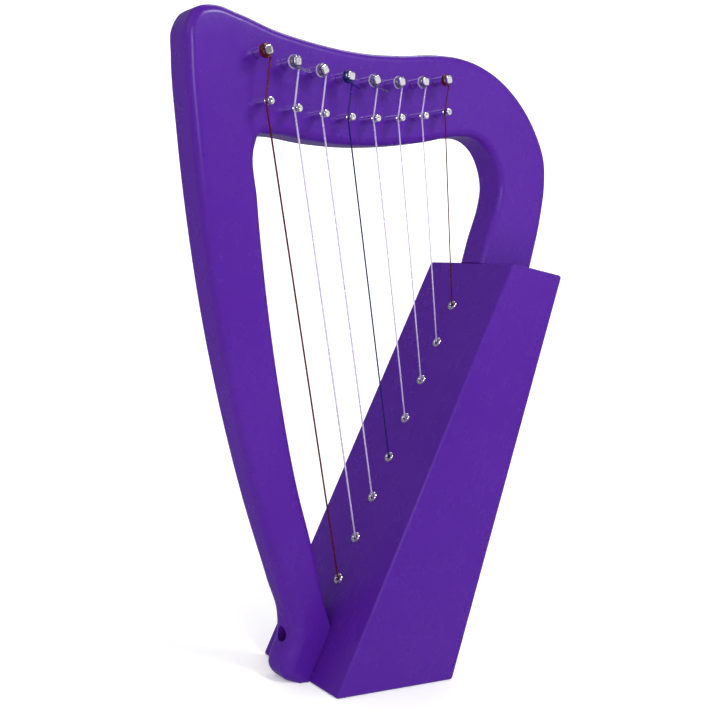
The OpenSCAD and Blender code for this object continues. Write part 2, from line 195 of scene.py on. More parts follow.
def ring_faces(shape):
    """Faces of several closed tubes at once, from an array (tubes, rings, sides, 3)."""
    tubes, rings, sides = shape[:3]
    faces = []
    for tube in range(tubes):
        first = tube * rings * sides
        last = first + (rings - 1) * sides
        faces += grid_faces(rings, sides, first).tolist()
        faces.append(list(range(first, first + sides)))
        faces.append(list(range(last, last + sides)))
    return faces


def finish_mesh(piece):
    """Applies a piece's modifiers, so that its mesh is final."""
    bpy.context.view_layer.update()
    shaped = piece.evaluated_get(bpy.context.evaluated_depsgraph_get())
    mesh = bpy.data.meshes.new_from_object(shaped)
    piece.modifiers.clear()
    piece.data = mesh
    return piece


def weigh_normals(piece):
    """Flat faces keep flat shading where they run into a rounded edge."""
    piece.data.set_sharp_from_angle(angle=np.radians(SHARP_ANGLE))
    even = piece.modifiers.new("even", "WEIGHTED_NORMAL")
    even.keep_sharp = True
    even.weight = FLAT_WEIGHT
    return finish_mesh(piece)


def cut(piece, points, faces):
    """Takes a cutter's shape out of a piece."""
    cutter = make_piece(piece.name + "_cutter", points, faces, body=None)
    knife = piece.modifiers.new("cut", "BOOLEAN")
    knife.object = cutter
    knife.operation = "DIFFERENCE"
    knife.solver = "EXACT"
    finish_mesh(piece)
    bpy.data.objects.remove(cutter)
    return piece


def count(piece):
    """Prints how many triangles a piece has."""
    piece.data.calc_loop_triangles()
    print(piece.name, len(piece.data.loop_triangles), "triangles")


print("new pieces ride on", HARP_BODY, "unless they say otherwise")

# %% [markdown]
# ## Materials
# The harp wears a satin violet paint over wood. Its colour drifts a little over a hand's
# breadth, its gloss varies where it was rubbed down, and its surface has a fine orange peel
# and a trace of the grain beneath. The weak mirror keeps the violet deep, as a pale sheen
# would wash it out. Each finish is one function, and a pattern reads Object coordinates,
# so it keeps its scale in metres.

# %% Material helpers
def new_material(name):
    """A material with its shader and a source of Object coordinates."""
    material = bpy.data.materials.new(name)
    material.use_nodes = True
    tree = material.node_tree
    shader = tree.nodes["Principled BSDF"]
    place = tree.nodes.new("ShaderNodeTexCoord").outputs["Object"]
    return material, tree, shader, place


def mapped(tree, place, scale, turned=(0, 0, 0)):
    """Object coordinates turned and scaled along each axis."""
    node = tree.nodes.new("ShaderNodeMapping")
    node.inputs["Scale"].default_value = scale
    node.inputs["Rotation"].default_value = turned
    tree.links.new(place, node.inputs["Vector"])
    return node.outputs["Vector"]


def noise(tree, where, scale, detail=3.0, roughness=0.5):
    """A noise pattern's value."""
    node = tree.nodes.new("ShaderNodeTexNoise")
    node.inputs["Scale"].default_value = scale
    node.inputs["Detail"].default_value = detail
    node.inputs["Roughness"].default_value = roughness
    tree.links.new(where, node.inputs["Vector"])
    return node.outputs["Fac"]


def spread(tree, value, low, high, start=0.3, end=0.7):
    """A value stretched from start..end to low..high."""
    node = tree.nodes.new("ShaderNodeMapRange")
    node.inputs["From Min"].default_value = start
    node.inputs["From Max"].default_value = end
    node.inputs["To Min"].default_value = low
    node.inputs["To Max"].default_value = high
    tree.links.new(value, node.inputs["Value"])
    return node.outputs["Result"]


def blend(tree, share, one, other):
    """Two colours mixed by a value."""
    node = tree.nodes.new("ShaderNodeMix")
    node.data_type = "RGBA"
    tree.links.new(share, node.inputs["Factor"])
    for socket, colour in ((node.inputs["A"], one), (node.inputs["B"], other)):
        if isinstance(colour, tuple):
            socket.default_value = (*colour, 1)
        else:
            tree.links.new(colour, socket)
    return node.outputs["Result"]


def bump(tree, height, distance, under=None):
    """Small relief from a height pattern, laid over another relief."""
    node = tree.nodes.new("ShaderNodeBump")
    node.inputs["Distance"].default_value = distance
    node.inputs["Strength"].default_value = 1.0
    tree.links.new(height, node.inputs["Height"])
    if under is not None:
        tree.links.new(under, node.inputs["Normal"])
    return node.outputs["Normal"]


# %% Violet paint
PAINT = (0.059, 0.0068, 0.232)
PAINT_PALE = (0.067, 0.0095, 0.252)
GRAIN_RELIEF = 0.04 * MM
PEEL_RELIEF = 0.03 * MM


def violet_paint(name, grain_turn):
    """Satin violet paint. grain_turn turns the trace of the grain under it."""
    material, tree, shader, place = new_material(name)
    drift = noise(tree, place, 9.0, detail=2.0)
    colour = blend(tree, spread(tree, drift, 0, 1), PAINT, PAINT_PALE)
    tree.links.new(colour, shader.inputs["Base Color"])
    cloth_marks = noise(tree, place, 60.0, detail=4.0, roughness=0.6)
    tree.links.new(spread(tree, cloth_marks, 0.23, 0.30), shader.inputs["Roughness"])
    grain = noise(tree, mapped(tree, place, (260, 260, 14), grain_turn), 1.0, detail=4.0)
    peel = noise(tree, place, 620.0, detail=1.0)
    relief = bump(tree, grain, GRAIN_RELIEF)
    relief = bump(tree, peel, PEEL_RELIEF, under=relief)
    tree.links.new(relief, shader.inputs["Normal"])
    shader.inputs["IOR"].default_value = 1.5
    shader.inputs["Specular IOR Level"].default_value = 0.25
    return material


paint_pillar = violet_paint("violet_paint_pillar", (0, np.radians(-22), 0))
paint_neck = violet_paint("violet_paint_neck", (0, np.radians(-80), 0))
paint_shoulder = violet_paint("violet_paint_shoulder", (0, np.radians(10), 0))
paint_box = violet_paint("violet_paint_box", (0, np.radians(15), 0))
print("paint from", PAINT, "to", PAINT_PALE)

# %% [markdown]
# Inside the soundbox and in the rims of its holes the wood is left bare. It is a pale
# softwood, whose grain runs up the panels and across the end blocks.

# %% Bare wood
WOOD_PALE = (0.62, 0.44, 0.25)
WOOD_DARK = (0.42, 0.26, 0.12)
PORE_RELIEF = 0.08 * MM


def bare_wood(name, grain_turn):
    """Sawn softwood: long soft streaks of darker summer wood, with fine pores."""
    material, tree, shader, place = new_material(name)
    along = mapped(tree, place, (120, 120, 7), grain_turn)
    streaks = noise(tree, along, 1.0, detail=5.0, roughness=0.55)
    colour = blend(tree, spread(tree, streaks, 0, 1, 0.35, 0.68), WOOD_PALE, WOOD_DARK)
    tree.links.new(colour, shader.inputs["Base Color"])
    pores = noise(tree, mapped(tree, place, (1500, 1500, 90), grain_turn), 1.0, detail=2.0)
    tree.links.new(bump(tree, pores, PORE_RELIEF), shader.inputs["Normal"])
    tree.links.new(spread(tree, pores, 0.6, 0.78), shader.inputs["Roughness"])
    return material


wood_upright = bare_wood("bare_wood_upright", (0, np.radians(15), 0))
wood_across = bare_wood("bare_wood_across", (0, np.radians(90), 0))
print("woods:", wood_upright.name, wood_across.name)

# %% [markdown]
# The pins and eyelets are nickel plated, and nearly mirrors: a pin's shank shows the violet
# of the neck beside it, and its tip shows the lights. The screw is dull zinc.

# %% Nickel plate
SCRATCH_DEPTH = 0.006 * MM


def plated_steel(name, colour, smooth, rough):
    """Plated steel: bright metal with fine scratches round the pins."""
    material, tree, shader, place = new_material(name)
    smudges = noise(tree, place, 900.0, detail=3.0)
    tree.links.new(spread(tree, smudges, smooth, rough), shader.inputs["Roughness"])
    scratches = noise(tree, mapped(tree, place, (900, 9000, 900)), 1.0, detail=2.0)
    tree.links.new(bump(tree, scratches, SCRATCH_DEPTH), shader.inputs["Normal"])
    shade = blend(tree, smudges, colour, tuple(c * 0.93 for c in colour))
    tree.links.new(shade, shader.inputs["Base Color"])
    shader.inputs["Metallic"].default_value = 1.0
    return material


nickel = plated_steel("nickel_plate", (0.90, 0.89, 0.94), 0.05, 0.10)
screw_steel = plated_steel("zinc_plate", (0.55, 0.55, 0.57), 0.3, 0.45)
print("metals:", nickel.name, screw_steel.name)

# %% [markdown]
# Harp strings are coloured so that the player can find the notes: every C is red and every
# F is dark blue, and the rest are clear. Clear nylon wound on a pin gets a darker copy of
# its colour, which is painted shade for the coils; it is also more see-through, so the metal shows through
# it.

# %% Nylon
def nylon(name, colour, clear):
    """Drawn nylon string: glossy and partly see-through, with faint draw lines."""
    material, tree, shader, place = new_material(name)
    uneven = noise(tree, place, 400.0, detail=2.0)
    shade = blend(tree, uneven, colour, tuple(c * 0.88 for c in colour))
    tree.links.new(shade, shader.inputs["Base Color"])
    tree.links.new(spread(tree, uneven, 0.16, 0.3), shader.inputs["Roughness"])
    shader.inputs["Transmission Weight"].default_value = clear
    shader.inputs["IOR"].default_value = 1.53
    shader.inputs["Specular IOR Level"].default_value = 0.3
    return material


nylon_red = nylon("nylon_red", (0.095, 0.001, 0.008), 0.2)
nylon_blue = nylon("nylon_blue", (0.006, 0.008, 0.12), 0.2)
nylon_clear = nylon("nylon_clear", (0.70, 0.60, 0.86), 0.5)
# painted shade: a darker copy of the clear nylon, used for the wound coils
nylon_wound = nylon("nylon_wound", (0.26, 0.22, 0.40), 0.9)
STRINGS = 8
STRING_NYLONS = [nylon_clear] * STRINGS
STRING_NYLONS[0] = STRING_NYLONS[7] = nylon_red
STRING_NYLONS[3] = nylon_blue
print("materials:", sorted(m.name for m in bpy.data.materials))

# %% [markdown]
# ## The frame's outline
# The frame is a board 21 mm thick, sawn along two smooth curves: an outer edge that rounds
# the foot, climbs the pillar, crosses the neck and comes down the shoulder, and an inner
# edge that does the same round the string window. Its three pieces meet in glued joints,
# which are straight lines across both curves.

# %% Outline of the frame
OUTER_EDGE = at([
    [-5.5, 0], [-11.2, 0.6], [-16.4, 5.2], [-17.6, 13], [-15.6, 23.5], [-17.6, 36], [-26.5, 54],
    [-50, 100.5], [-70, 145.5], [-88, 190.5], [-103, 234.5], [-116, 279], [-124.5, 314],
    [-126, 325], [-122.5, 334], [-113, 339], [-100, 339.5], [-78, 338.5], [-57, 339.7],
    [-19, 345.3], [5, 351.8], [31, 360.3], [50, 364.3], [66, 365], [82, 362.8],
    [96, 358.2], [111, 350], [125, 338.2], [135, 325], [139.5, 308], [140, 290], [136, 250],
])
INNER_EDGE = at([
    [10.84, 30.1], [3.5, 46], [-10.5, 79], [-23.5, 106], [-45, 160], [-62.5, 212.5],
    [-74, 253], [-80, 280], [-78.5, 285.5], [-72, 287.5], [-43, 291], [-19.5, 295],
    [0, 299.8], [28, 308.6], [57, 319.6], [67, 321.8], [76.5, 321], [84.5, 317.3],
    [92, 309.5], [97, 298], [97, 288], [92.5, 266], [90, 250],
])
PILLAR_JOINT = at([[-140, 269], [-76, 285]])
SHOULDER_JOINT = at([[64, 318], [58, 370]])


def crossing(points, line, low, high):
    """Where a curve crosses a line, as the curve's t, found between two values of t."""
    t = np.linspace(low, high, 4001)
    offset = curve_at(points, t) - line[0]
    way = line[1] - line[0]
    side = offset[:, 0] * way[1] - offset[:, 1] * way[0]
    i = np.flatnonzero(np.diff(np.sign(side)))[0]
    return t[i] + (t[i + 1] - t[i]) * side[i] / (side[i] - side[i + 1])


def inner_at(t):
    """The inner edge at t. Below zero it runs down the soundboard to its foot, at -1."""
    above = curve_at(INNER_EDGE, np.clip(t, 0, None))
    below = BOARD_FOOT + (INNER_EDGE[0] - BOARD_FOOT) * (1 + np.clip(t, -1, 0))[:, None]
    return np.where(t[:, None] < 0, below, above)


outer_joints = [crossing(OUTER_EDGE, PILLAR_JOINT, 10, 12), crossing(OUTER_EDGE, SHOULDER_JOINT, 21, 24)]
inner_joints = [crossing(INNER_EDGE, PILLAR_JOINT, 7, 8.5), crossing(INNER_EDGE, SHOULDER_JOINT, 14, 15)]
print("joints cross the edges at", np.round(outer_joints, 2), "and", np.round(inner_joints, 2))

# %% [markdown]
# ## Pillar, neck and shoulder
# Each piece is a band between the two edges. A line across the band joins a point of the
# outer edge to its partner on the inner edge, and the section there is a rectangle with
# rounded corners. Every corner turns square to its own edge, so the rounding stays even
# however the lines fan out round the corner of the window.

# %% Band between two edges
CORNER_STEPS = 8
FACE_STEPS = 14
EDGE_ROUND = 4.5 * MM
RINGS_PER_POINT = 14
NUDGE = 0.02


def outer_at(t):
    """The outer edge at t."""
    return curve_at(OUTER_EDGE, t)


def edge_normals(edge, t, towards):
    """Unit vectors square to an edge at t, on the side of the points in towards. The edge's
    way is the chord from a little before t to a little after it."""
    way = unit(edge(t + NUDGE) - edge(t - NUDGE))
    square = np.stack([-way[:, 1], way[:, 0]], axis=1)
    facing = np.sign(np.sum(square * (towards - edge(t)), axis=1, keepdims=True))
    return square * np.where(facing == 0, 1, facing)


def rounded_edge(points, normals, radius, side):
    """A quarter circle at each point of an edge, from its flat side to the face on one side.
    The point moves in by r(1 - cos a) while it moves towards the face by r sin a."""
    angle = np.linspace(0, np.pi / 2, CORNER_STEPS + 1)[None, :]
    r = radius[:, None]
    inwards = r * (1 - np.cos(angle))
    across = side * (HALF_T - r + r * np.sin(angle))
    flat = points[:, None, :] + normals[:, None, :] * inwards[..., None]
    return np.stack([flat[..., 0], across, flat[..., 1]], axis=-1)


def band(outer_t, inner_t, outer_r, inner_r):
    """Rings round the band's section: outer corner, front face, inner corner and so on."""
    outer, inner = outer_at(outer_t), inner_at(inner_t)
    width = np.linalg.norm(outer - inner, axis=1)
    inner_r = np.minimum(inner_r, width * 0.42)
    outer_r = np.minimum(outer_r, width * 0.9 - inner_r)
    out_n = edge_normals(outer_at, outer_t, inner)
    in_n = edge_normals(inner_at, inner_t, outer)
    rings = []
    for side in (-1, 1):
        first = rounded_edge(outer, out_n, outer_r, side)
        last = rounded_edge(inner, in_n, inner_r, side)[:, ::-1]
        share = np.linspace(0, 1, FACE_STEPS + 1)[None, 1:-1, None]
        face = first[:, -1:] * (1 - share) + last[:, :1] * share
        half = np.concatenate([first, face, last], axis=1)
        rings.append(half if side < 0 else half[:, ::-1])
    return np.concatenate(rings, axis=1)


def even_round(t):
    """The same round all along an edge."""
    return np.full(t.shape, EDGE_ROUND)


def frame_piece(name, node, pairs, outer_r, inner_r, material):
    """A piece of the frame between two joints. pairs are partners on the two edges, and
    outer_r and inner_r give the round at any t of their edge."""
    pairs = np.array(pairs)
    knots = np.arange(len(pairs))
    steps = np.linspace(0, len(pairs) - 1, (len(pairs) - 1) * RINGS_PER_POINT + 1)
    outer_t = np.interp(steps, knots, pairs[:, 0])
    inner_t = np.interp(steps, knots, pairs[:, 1])
    rings = band(outer_t, inner_t, outer_r(outer_t), inner_r(inner_t))
    piece = make_piece(name, rings, ring_faces((1, *rings.shape[:2])))
    piece.data.materials.append(material)
    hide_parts(node)
    count(piece)
    return piece


# %% [markdown]
# The pillar's edges are shaped by hand near the foot: almost sharp where the pillar meets
# the soundboard, a tighter round over the toe, and a wide round up to the shin, which
# narrows to the even round of the rest of the frame.

# %% Pillar
JOINT_ROUND = 0.6 * MM
TOE_ROUND = 6.0 * MM
FOOT_ROUND = 8.5 * MM
BOARD_ROUND = 2.5 * MM
OUTER_STATIONS = [0, 0.8, 2.3, 4, 5, 8]
OUTER_ROUNDS = [JOINT_ROUND, TOE_ROUND, TOE_ROUND, FOOT_ROUND, FOOT_ROUND, EDGE_ROUND]
INNER_STATIONS = [-1, -0.15, 0.3, 2]
INNER_ROUNDS = [JOINT_ROUND, JOINT_ROUND, BOARD_ROUND, EDGE_ROUND]
pillar_pairs = [
    (0, -1), (1, -0.95), (2, -0.8), (3, -0.57), (4, 0), (5, 0.95), (6, 1.6), (7, 3.1),
    (8, 3.93), (9, 4.78), (10, 5.78), (outer_joints[0], inner_joints[0]),
]
pillar = frame_piece(
    "harp_pillar", "pillar", pillar_pairs,
    lambda t: np.interp(t, OUTER_STATIONS, OUTER_ROUNDS),
    lambda t: np.interp(t, INNER_STATIONS, INNER_ROUNDS),
    paint_pillar,
)

# %% Neck
neck_pairs = [
    (outer_joints[0], inner_joints[0]), (11, 7.8), (12, 7.95), (13, 8.03), (14, 8.12),
    (15, 8.22), (16, 8.4), (17, 8.8), (18, 9.7), (19, 11.3), (20, 12.68), (21, 13.55),
    (22, 14.1), (outer_joints[1], inner_joints[1]),
]
neck = frame_piece("harp_neck", "neck", neck_pairs, even_round, even_round, paint_neck)

# %% Shoulder
shoulder_pairs = [
    (outer_joints[1], inner_joints[1]), (23, 14.9), (24, 15.8), (25, 16.5), (26, 17.1),
    (27, 17.75), (28, 18.35), (29, 19), (30, 19.9), (31, 22),
]
shoulder = frame_piece(
    "harp_shoulder", "shoulder", shoulder_pairs, even_round, even_round, paint_shoulder
)

# %% [markdown]
# The pillar is screwed to the base block through its foot. The screw's head is sunk in a
# round hole, which is cut out of the pillar with a cylinder. The neck is bored for the
# tuning pins, a hair wider than they are.

# %% Holes in the frame
HOLE_SIDES = 48


def rods(starts, way, length, radius, sides=HOLE_SIDES):
    """Round rods from several start points, all along one way: two rings each."""
    way = unit(np.asarray(way, float))
    aside = unit(np.cross(way, [0, 1, 0] if abs(way[1]) < 0.9 else [1, 0, 0]))
    angle = np.linspace(0, 2 * np.pi, sides, endpoint=False)[:, None]
    ring = radius * (np.cos(angle) * aside + np.sin(angle) * np.cross(way, aside))
    ends = np.stack([starts, starts + way * length], axis=1)
    return ends[:, :, None, :] + ring[None, None]


def upright(point, y=0.0):
    """A point of the drawing's plane as a point in space."""
    return np.array([point[0], y, point[1]])


SCREW_STATION = 18.5 * MM
SCREW_SEAT = 12 * MM
SCREW_HOLE_R = 4 * MM
SCREW_HOLE_L = 40 * MM
screw_way = upright(BOARD_OUT)
screw_start = upright(BOARD_FOOT + BOARD_WAY * SCREW_STATION) + screw_way * SCREW_SEAT
screw_hole = rods(screw_start[None], screw_way, SCREW_HOLE_L, SCREW_HOLE_R)
cut(pillar, screw_hole, ring_faces(screw_hole.shape))

PIN_R = 2.5 * MM
PIN_IN = 17 * MM
PIN_GAP = 0.05 * MM
BORE_PAST = 1 * MM
pin_points = np.array([joint["pos_m"] for joint in frame["joints"]])
pin_bottoms = pin_points * [1, 0, 1] + [0, PIN_IN - HALF_T, 0]
pin_bores = rods(pin_bottoms, (0, -1, 0), PIN_IN + BORE_PAST, PIN_R + PIN_GAP)
cut(neck, pin_bores, ring_faces(pin_bores.shape))
for piece in (pillar, neck, shoulder):
    weigh_normals(piece)
    count(piece)

# %% [markdown]
# ## Soundbox
# The soundbox is glued up from flat panels. The soundboard covers the front and the back
# panel the back, with a side panel between them on each side. Only the edges that show are
# eased, with a small round, and the glue lines are flush under the paint. Faces inside the
# box are left as bare wood.

# %% Panels
BOX_ROUND = 1.7 * MM
ROUND_STEPS = 4
ON_PLANE = 0.02 * MM
RIM_EDGE_MAX = 4 * MM


def side_view(front_in, back_in):
    """The box seen from the side, cut in level from the front and from the back."""
    return np.array([
        BOARD_FOOT + [front_in, 0], BACK_FOOT - [back_in, 0],
        BACK_TOP - [back_in, 0], BOARD_TOP + [front_in, 0],
    ])


def outer_planes(points):
    """For each point, its depth inside the box's six outer planes."""
    flat = points[..., [0, 2]]
    return np.stack([
        (BOARD_FOOT - flat) @ BOARD_OUT, (BACK_FOOT - flat) @ BACK_OUT,
        BOX_W / 2 - points[..., 1], BOX_W / 2 + points[..., 1],
        points[..., 2], BOX_H - points[..., 2],
    ], axis=-1)


def mesh_points(mesh):
    """A mesh's points as an array."""
    points = np.empty(len(mesh.vertices) * 3)
    mesh.vertices.foreach_get("co", points)
    return points.reshape(-1, 3)


def panel(name, node, outline, y_low, y_high, holes=None):
    """A flat panel with the same outline at both ends of its width. Its edges that lie on
    two of the box's outer planes are eased, and so are the rims of its holes."""
    ends = np.array([[upright(p, y) for p in outline] for y in (y_low, y_high)])
    piece = make_piece(name, ends, ring_faces((1, *ends.shape[:2])))
    if holes is not None:
        cut(piece, holes, ring_faces(holes.shape))
    mesh = piece.data
    on_plane = np.abs(outer_planes(mesh_points(mesh))) < ON_PLANE
    edges = np.empty(len(mesh.edges) * 2, int)
    mesh.edges.foreach_get("vertices", edges)
    edges = edges.reshape(-1, 2)
    shared = (on_plane[edges[:, 0]] & on_plane[edges[:, 1]]).sum(axis=1)
    length = np.linalg.norm(np.subtract(*mesh_points(mesh)[edges].swapaxes(0, 1)), axis=1)
    rim = (shared == 1) & (length < RIM_EDGE_MAX) & (holes is not None)
    eased = mesh.attributes.new("bevel_weight_edge", "FLOAT", "EDGE")
    eased.data.foreach_set("value", ((shared >= 2) | rim).astype(np.float32))
    ease = piece.modifiers.new("ease", "BEVEL")
    ease.limit_method = "WEIGHT"
    ease.width = BOX_ROUND
    ease.segments = ROUND_STEPS
    ease.use_clamp_overlap = True
    finish_mesh(piece)
    weigh_normals(piece)
    piece.data.materials.append(paint_box)
    piece.data.materials.append(wood_upright)
    centres = np.empty(len(piece.data.polygons) * 3)
    piece.data.polygons.foreach_get("center", centres)
    inside = outer_planes(centres.reshape(-1, 3)).min(axis=1) > BOX_ROUND * 0.5
    piece.data.polygons.foreach_set("material_index", inside.astype(np.int32))
    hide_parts(node)
    count(piece)
    return piece


board_run = BOARD_T / BOARD_WAY[1]
back_run = BACK_T / BACK_WAY[1]
board_view = side_view(0, 0)
board_view[[1, 2]] = board_view[[0, 3]] + [board_run, 0]
back_view = side_view(0, 0)
back_view[[0, 3]] = back_view[[1, 2]] - [back_run, 0]
middle_view = side_view(board_run, back_run)
half_w = BOX_W / 2
panel("box_soundboard", "soundboard", board_view, -half_w, half_w)
panel("box_left_side", "left_side_panel", middle_view, -half_w, -half_w + SIDE_T)
panel("box_right_side", "right_side_panel", middle_view, half_w - SIDE_T, half_w)

# %% [markdown]
# The back has three round sound holes that get smaller towards the top. They let the sound
# out, and a hand in to knot the strings. Each pair below is a hole's distance up the back
# and its radius, in millimetres.

# %% Back panel with its sound holes
SOUND_HOLES = [(74, 17.0), (134, 14.5), (188, 12.0)]
SOUND_HOLE_SIDES = 72
hole_cutters = []
for station, radius in SOUND_HOLES:
    centre = upright(BACK_FOOT + BACK_WAY * station * MM * stretch[1])
    start = centre - upright(BACK_OUT) * BACK_T * 2
    hole_cutters.append(rods(start[None], upright(BACK_OUT), BACK_T * 4, radius * MM, SOUND_HOLE_SIDES))
panel("box_back", "back_panel", back_view, -half_w, half_w, np.concatenate(hole_cutters))

# %% [markdown]
# The blocks at the ends of the box show their end faces at its top and bottom, and those
# faces are painted with the rest. They keep their own meshes, so the paint is laid on by
# height: a skin at the box's top and at its base is paint, and the rest is wood.

# %% Painted end blocks
def painted_at(name, height, above):
    """Bare wood that is painted where Z is past a height."""
    material = wood_across.copy()
    material.name = name
    tree = material.node_tree
    shader = tree.nodes["Principled BSDF"]
    raw = shader.inputs["Base Color"].links[0].from_socket
    place = tree.nodes.new("ShaderNodeTexCoord").outputs["Object"]
    parts = tree.nodes.new("ShaderNodeSeparateXYZ")
    tree.links.new(place, parts.inputs["Vector"])
    level = tree.nodes.new("ShaderNodeMath")
    level.operation = "GREATER_THAN" if above else "LESS_THAN"
    level.inputs[1].default_value = height
    tree.links.new(parts.outputs["Z"], level.inputs[0])
    tree.links.new(blend(tree, level.outputs[0], raw, PAINT), shader.inputs["Base Color"])
    return material


SKIN = 0.1 * MM
end_finishes = {
    "top_block": painted_at("painted_top", BOX_H - SKIN, True),
    "base_block": painted_at("painted_base", SKIN, False),
    "string_rib": wood_upright, "soundboard_liners": wood_upright,
    "back_liners": wood_upright, "frame_dowels": wood_across, "shoulder_dowels": wood_upright,
    "pillar_screw": screw_steel,
}
for node, material in end_finishes.items():
    nodes[node].data.materials.clear()
    nodes[node].data.materials.append(material)
print("kept from the packed model:", sorted(end_finishes))

# %% [markdown]
# ## Turned metal
# Bridge pins and eyelets are round, so each is a profile of radius against height, turned
# about its own axis. All eight of a kind are worked out in one array: a ring of points for
# each step of the profile, at each place.

# %% Turning helper
TURN_SIDES = 48
TURNED_SHARP = 40


def turned(name, node, places, way, profile, closed=True):
    """Profiles of (radius, height) turned about a way at each place, as one piece."""
    way = unit(np.asarray(way, float))
    aside = unit(np.cross(way, [0, 1, 0] if abs(way[1]) < 0.9 else [1, 0, 0]))
    other = np.cross(way, aside)
    angle = np.linspace(0, 2 * np.pi, TURN_SIDES, endpoint=False)
    circle = np.cos(angle)[:, None] * aside + np.sin(angle)[:, None] * other
    rings = profile[:, 0, None, None] * circle + profile[:, 1, None, None] * way
    points = places[:, None, None, :] + rings[None]
    faces = []
    for i in range(len(places)):
        first = i * len(profile) * TURN_SIDES
        faces += grid_faces(len(profile), TURN_SIDES, first).tolist()
        if closed:
            last = first + (len(profile) - 1) * TURN_SIDES
            faces.append(list(range(first, first + TURN_SIDES)))
            faces.append(list(range(last, last + TURN_SIDES)))
        else:
            joined = grid_faces(2, TURN_SIDES)
            end = (len(profile) - 1) * TURN_SIDES
            joined = np.where(joined >= TURN_SIDES, joined - TURN_SIDES + end, joined)
            faces += (joined + first).tolist()
    piece = make_piece(name, points, faces)
    piece.data.materials.append(nickel)
    piece.data.set_sharp_from_angle(angle=np.radians(TURNED_SHARP))
    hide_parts(node)
    count(piece)
    return piece


def arc(centre, radii, start, end, steps):
    """Points of a profile along an arc, in degrees, as (radius, height)."""
    a = np.radians(np.linspace(start, end, steps))
    return np.stack([centre[0] + radii[0] * np.cos(a), centre[1] + radii[1] * np.sin(a)], axis=1)


print("turned pieces have", TURN_SIDES, "sides")

# %% [markdown]
# An eyelet lines each string hole, so that the nylon doesn't cut the soundboard. Its flange
# is a low round ring on the board, and its barrel goes through.

# %% Eyelets
FIRST_EYELET = 57.6 * MM
EYELET_STEP = 25.4 * MM
EYELET_R = 3.2 * MM
EYELET_HOLE_R = 1.3 * MM
EYELET_BARREL_R = 2.1 * MM
EYELET_H = 1.0 * MM
stations = (FIRST_EYELET + EYELET_STEP * np.arange(STRINGS)) * stretch[1]
eyelet_flat = BOARD_FOOT + BOARD_WAY * stations[:, None]
eyelet_points = np.stack([eyelet_flat[:, 0], np.zeros(STRINGS), eyelet_flat[:, 1]], axis=1)
rim_middle = (EYELET_R + EYELET_HOLE_R) / 2
rim_half = (EYELET_R - EYELET_HOLE_R) / 2
eyelet_profile = np.concatenate([
    [[EYELET_HOLE_R, -BOARD_T], [EYELET_BARREL_R, -BOARD_T], [EYELET_BARREL_R, 0]],
    arc((rim_middle, 0), (rim_half, EYELET_H), 0, 180, 19),
])
turned("eyelet_rings", "eyelets", eyelet_points, upright(BOARD_OUT), eyelet_profile, closed=False)

# %% [markdown]
# The bridge pins fix the upper end of each string's free length. They stand in even steps
# along the neck and climb on a shallow parabola. The string lies in a hollow groove, and
# the rounded tip has a small dimple left by the lathe.

# %% Bridge pins
BRIDGE_R = 2.0 * MM
GROOVE_R = 1.05 * MM
BRIDGE_IN = 13 * MM
BRIDGE_OUT = 10.6 * MM
STRING_H = 8.1 * MM
GROOVE_HALF = 0.85 * MM
GROOVE_EDGE = 1.05 * MM
TIP_ROUND = 0.4 * MM
BRIDGE_X = -82.5
BRIDGE_STEP = 16.8
BRIDGE_Z = 300
order = np.arange(STRINGS)
bridge_rise = 0.5 * order + 0.48 * order**2
bridge_flat = at(np.stack([BRIDGE_X + BRIDGE_STEP * order, BRIDGE_Z + bridge_rise], axis=1))
bridge_points = np.stack([bridge_flat[:, 0], np.full(STRINGS, -HALF_T), bridge_flat[:, 1]], axis=1)
bridge_profile = np.concatenate([
    [[0, -BRIDGE_IN], [BRIDGE_R, -BRIDGE_IN], [BRIDGE_R, 0], [BRIDGE_R, STRING_H - GROOVE_EDGE - 0.25 * MM]],
    [[BRIDGE_R, STRING_H - GROOVE_EDGE]],
    arc((BRIDGE_R, STRING_H), (GROOVE_R - BRIDGE_R, GROOVE_HALF), -75, 75, 11),
    [[BRIDGE_R, STRING_H + GROOVE_EDGE]],
    arc((BRIDGE_R - TIP_ROUND, BRIDGE_OUT - TIP_ROUND), (TIP_ROUND, TIP_ROUND), 0, 90, 6),
    [[0.55 * MM, BRIDGE_OUT], [0.42 * MM, BRIDGE_OUT - 0.25 * MM], [0, BRIDGE_OUT - 0.4 * MM]],
])
turned("bridge_pin_set", "bridge_pins", bridge_points, (0, -1, 0), bridge_profile)

# %% [markdown]
# ## Tuning pins
# A tuning pin is a round rod whose end is squared for the key. The square's corners are
# what is left of the rod, so its radius at any angle is the smaller of the rod's and the
# square's. A short run-out leads from one to the other, and the tip's edge is eased. Each
# pin has come to rest at its own angle, as it would on a tuned harp.

# %% Tuning pins
PIN_OUT = 11.3 * MM
SQUARE_HALF = 2.15 * MM
SQUARE_L = 1.6 * MM
RUN_OUT = 0.4 * MM
TIP_EASE = 0.35 * MM
TIP_RING_IN = 1.2 * MM
BURIED_EASE = 0.4 * MM
PIN_SHARP = 35
PIN_TURNS = [28, 12, 40, 5, 33, 20, 8, 25]
PIN_SIDES = 96


def pin_radius(angle, height):
    """Radius of the squared rod: past the run-out, the lesser of the rod and the square."""
    from_flat = np.maximum(np.abs(np.cos(angle)), np.abs(np.sin(angle)))
    square = np.minimum(PIN_R, SQUARE_HALF / from_flat)
    share = np.clip((height - (PIN_OUT - SQUARE_L - RUN_OUT)) / RUN_OUT, 0, 1)
    return PIN_R + (square - PIN_R) * share


